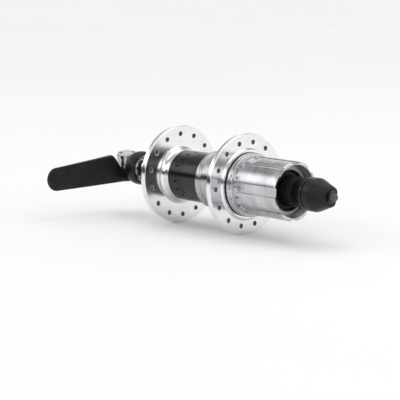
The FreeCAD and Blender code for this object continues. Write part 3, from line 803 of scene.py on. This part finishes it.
def anodised(name, dark, light, rough_low, rough_high, grain, grain_scale,
             metallic=0.0, coat=0.0):
    """Black anodising, paint or plastic: fine grain with rubbed, slightly shinier clouds."""
    look = Look(name)
    look.shader.inputs["Metallic"].default_value = metallic
    look.shader.inputs["Coat Weight"].default_value = coat
    look.shader.inputs["Coat Roughness"].default_value = 0.06
    look.shader.inputs["Specular IOR Level"].default_value = 0.28
    clouds = look.noise(scale=160.0, detail=4.0, rough=0.6)
    look.colour(clouds, dark, light)
    fine = look.noise(scale=grain_scale, detail=2.0, rough=0.5)
    rough = look.range(look.sum(clouds, fine, 0.4), rough_low, rough_high)
    look.link(rough, look.shader.inputs["Roughness"])
    look.bumps((fine, grain, 0.00004))
    return look.material


def black(value):
    """A very slightly bluish black."""
    return (value, value, value * 1.04)


BRIGHT = (0.80, 0.80, 0.82), (0.89, 0.89, 0.90), 0.10, 0.20
LOOKS = {
    "polished_alloy": polished("polished_alloy", *BRIGHT),
    "freehub_silver": polished("freehub_silver", (0.47, 0.48, 0.49), (0.69, 0.70, 0.71),
                               0.13, 0.26, lines=0.2),
    "cam_silver": polished("cam_silver", (0.36, 0.36, 0.37), (0.58, 0.58, 0.59),
                           0.16, 0.30, lines=0.05, scratches=0.12),
    "hardened_steel": polished("hardened_steel", (0.32, 0.31, 0.30), (0.46, 0.45, 0.44),
                               0.24, 0.36),
    "skewer_steel": polished("skewer_steel", (0.07, 0.07, 0.072), (0.13, 0.13, 0.132),
                             0.24, 0.38),
    "bearing_steel": polished("bearing_steel", (0.62, 0.62, 0.63), (0.76, 0.76, 0.77),
                              0.14, 0.30),
    "insert_steel": polished("insert_steel", (0.05, 0.05, 0.052), (0.09, 0.09, 0.092),
                             0.28, 0.42),
    "barrel_black": anodised("barrel_black", black(0.004), black(0.010),
                             0.10, 0.22, 0.04, 2600.0, coat=0.25),
    "black_alloy": anodised("black_alloy", black(0.010), black(0.022),
                            0.22, 0.36, 0.10, 3200.0, metallic=0.3),
    "lever_black": anodised("lever_black", (0.010, 0.009, 0.009), (0.020, 0.018, 0.017),
                            0.30, 0.44, 0.16, 3600.0, metallic=0.2),
    "black_plastic": anodised("black_plastic", black(0.005), black(0.012),
                              0.28, 0.44, 0.20, 2800.0),
    "rubber_black": anodised("rubber_black", black(0.010), black(0.024),
                             0.50, 0.68, 0.35, 2200.0),
    "bearing_seal": anodised("bearing_seal", black(0.012), black(0.026),
                             0.42, 0.60, 0.25, 2400.0),
    "cage_nylon": anodised("cage_nylon", (0.60, 0.56, 0.46), (0.72, 0.68, 0.58),
                           0.40, 0.55, 0.15, 2400.0),
}
# the bore's darker colour is painted shade inside the freehub; its higher roughness is the cut
# finish
SHADED_BORE_WALL = polished("bore_wall_painted_shade", (0.23, 0.23, 0.232), (0.38, 0.38, 0.382), 0.28, 0.46)
# the right flange's waist is darkened towards the barrel: painted shade between the flanges
SHADED_WAIST_ALLOY = polished("waist_alloy_painted_shade", *BRIGHT, fade=(-18.0, -12.0, 0.54))
# the spoke-hole walls' dark colour is painted shade; their higher roughness is the drilled finish
SHADED_HOLE_WALL = polished("hole_wall_painted_shade", (0.12, 0.115, 0.11), (0.22, 0.21, 0.20), 0.35, 0.55)


def paint(piece, material):
    """Gives the whole piece one material."""
    piece.data.materials.clear()
    piece.data.materials.append(material)


def paint_hole_shade(flange, disc_y, phase):
    """The drilled walls of the spoke holes are dull as drilled, and dark as painted shade in the
    holes.
    """
    skin, past = 0.1, 0.3
    flange.data.materials.append(SHADED_HOLE_WALL)
    low, high = disc_y
    pitch = 360.0 / HOLES
    for face in flange.data.polygons:
        x, y, z = (value / MM for value in face.center)
        if not low + skin < y < high - skin:
            continue
        turn = (math.degrees(math.atan2(x, z)) - phase + pitch / 2) % pitch - pitch / 2
        angle = math.radians(turn)
        radius = math.hypot(x, z)
        off = math.hypot(radius * math.sin(angle), radius * math.cos(angle) - SPOKE_CIRCLE_R)
        if off < HOLE_R + past:
            face.material_index = 1


def paint_bore_shade(body):
    """The threaded mouth and the bore behind it are rougher as cut, and darker than the outside as
    painted shade inside the bore.
    """
    body.data.materials.append(SHADED_BORE_WALL)
    for face in body.data.polygons:
        x, y, z = (value / MM for value in face.center)
        inside = FREEHUB_END + 0.1 < y < BASE_END - 1.0
        if inside and math.hypot(x, z) < SPLINE_FLOOR_R - 0.3:
            face.material_index = 1


def paint_dimple_shade(piece):
    """Painted shade: the small blind hole's inside gets the dark insert_steel material."""
    piece.data.materials.append(LOOKS["insert_steel"])
    unroll = Matrix.Rotation(-ROLL, 3, "Y")
    for face in piece.data.polygons:
        offset = unroll @ (face.center / MM) - DIMPLE_CENTRE
        along = offset.dot(DIMPLE_INWARDS)
        off = (offset - along * DIMPLE_INWARDS).length
        if off < DIMPLE_R + 0.1 and -HOUSING_R < along < -0.5 * HOUSING_R:
            face.material_index = 1


node_slots = {entry["node"]: entry["material_slot"] for entry in frame["record"]["subparts"]}
for node, piece in frame["nodes"].items():
    paint(piece, LOOKS[node_slots[node]])
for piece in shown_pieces():
    if "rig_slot" in piece:
        paint(piece, LOOKS[piece["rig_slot"]])

# painted shade inside the cam housing's blind hole
paint_dimple_shade(housing)
# painted shade on the right flange's waist between the flanges
paint(right_flange, SHADED_WAIST_ALLOY)
paint_bore_shade(freehub)
paint_hole_shade(left_flange, LEFT_DISC_Y, LEFT_HOLE_PHASE)
paint_hole_shade(right_flange, RIGHT_DISC_Y, RIGHT_HOLE_PHASE)

# ---------------------------------------------------------------- floor, light and camera

floor_z = cad_low.z


def floor():
    """A wide pale floor that the flanges stand on."""
    half = 6.0
    corners = [(-half, -half), (half, -half), (half, half), (-half, half)]
    mesh = bpy.data.meshes.new("studio_floor")
    mesh.from_pydata([(x, y, floor_z) for x, y in corners], [], [(0, 1, 2, 3)])
    piece = shown("studio_floor", mesh)
    look = Look("studio_floor")
    look.shader.inputs["Roughness"].default_value = 0.85
    look.shader.inputs["Specular IOR Level"].default_value = 0.1
    look.colour(look.noise(3.0), (0.94, 0.94, 0.94), (0.96, 0.96, 0.96))
    paint(piece, look.material)
    piece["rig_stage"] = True


def softbox(name, azimuth, elevation, distance, width, height, power):
    """A rectangular light at an angle round the hub, facing it."""
    light = bpy.data.lights.new(name, "AREA")
    light.shape = "RECTANGLE"
    light.size, light.size_y = width, height
    light.energy = power
    lamp = shown(name, light)
    back = direction(azimuth, elevation)
    lamp.location = back * distance
    lamp.rotation_euler = (-back).to_track_quat("-Z", "Y").to_euler()


def direction(azimuth, elevation):
    """Unit vector from the hub. Azimuth 0 is at -Y, and 90 is at +X."""
    a, e = math.radians(azimuth), math.radians(elevation)
    return Vector((math.sin(a) * math.cos(e), -math.cos(a) * math.cos(e), math.sin(e)))


WALL_COLOUR, PANEL_COLOUR, STUDIO_STRENGTH = (0.04, 0.042, 0.046), (1.45, 1.45, 1.46), 1.17


def studio():
    """A white room, grey above eye level, with a lit panel above a dark wall on the -X side."""
    world = bpy.data.worlds.new("studio")
    world.use_nodes = True
    tree = world.node_tree
    link = tree.links.new

    def curve(value, stops):
        """Straight runs between (value, result) stops."""
        ramp = tree.nodes.new("ShaderNodeValToRGB")
        while len(ramp.color_ramp.elements) < len(stops):
            ramp.color_ramp.elements.new(0.5)
        for element, (position, result) in zip(ramp.color_ramp.elements, stops):
            element.position = position
            element.color = (result, result, result, 1.0)
        link(value, ramp.inputs["Fac"])
        return ramp.outputs["Color"]

    def mixed(under, over, share):
        """A plain colour laid over another by a share."""
        mix = tree.nodes.new("ShaderNodeMix")
        mix.data_type = "RGBA"
        link(share, mix.inputs["Factor"])
        link(under, mix.inputs["A"])
        mix.inputs["B"].default_value = (*over, 1.0)
        return mix.outputs["Result"]

    def product(first, second):
        """Two values multiplied, of which the second may be a plain number."""
        times = tree.nodes.new("ShaderNodeMath")
        times.operation = "MULTIPLY"
        link(first, times.inputs[0])
        if isinstance(second, float):
            times.inputs[1].default_value = second
        else:
            link(second, times.inputs[1])
        return times.outputs[0]

    split = tree.nodes.new("ShaderNodeSeparateXYZ")
    link(tree.nodes.new("ShaderNodeTexCoord").outputs["Generated"], split.inputs[0])
    side = curve(product(split.outputs["X"], -1.0), [(0.10, 0.0), (0.40, 1.0)])
    height = split.outputs["Z"]
    room = curve(height, [(0.0, 1.0), (0.25, 1.0), (0.50, 0.66), (0.72, 0.26),
                          (0.82, 1.0), (1.0, 1.0)])
    wall = curve(height, [(0.0, 0.8), (0.02, 1.0), (0.18, 1.0), (0.25, 0.0)])
    panel = curve(height, [(0.26, 0.0), (0.31, 1.0), (0.52, 1.0), (0.60, 0.0)])
    room = mixed(room, WALL_COLOUR, product(wall, side))
    room = mixed(room, PANEL_COLOUR, product(panel, side))
    link(room, tree.nodes["Background"].inputs["Color"])
    tree.nodes["Background"].inputs["Strength"].default_value = STUDIO_STRENGTH
    bpy.context.scene.world = world


floor()
studio()
softbox("top_light", azimuth=0, elevation=88, distance=1.1, width=1.3, height=1.0, power=1.2)
softbox("right_front_light", azimuth=30, elevation=45, distance=1.1, width=0.5, height=0.7,
        power=0.7)

# the photo's view, in degrees, metres and millimetres of lens
VIEW_AZIMUTH, VIEW_ELEVATION, VIEW_DISTANCE, LENS = -42.0, 8.8, 0.9852, 144.0
AIM_RIGHT, AIM_UP = -0.01355, -0.01214


def camera():
    """A long lens that looks along the hub from behind the drive side, aimed a little past it."""
    back = direction(VIEW_AZIMUTH, VIEW_ELEVATION)
    turn = back.to_track_quat("Z", "Y")
    aim = turn @ Vector((AIM_RIGHT, AIM_UP, 0.0))
    data = bpy.data.cameras.new("camera")
    data.lens = LENS
    data.sensor_width = 36.0
    data.clip_start, data.clip_end = 0.05, 50.0
    made = shown("camera", data)
    made.location = aim + back * VIEW_DISTANCE
    made.rotation_euler = turn.to_euler()
    bpy.context.scene.camera = made


camera()
bpy.context.scene.view_settings.view_transform = "Standard"
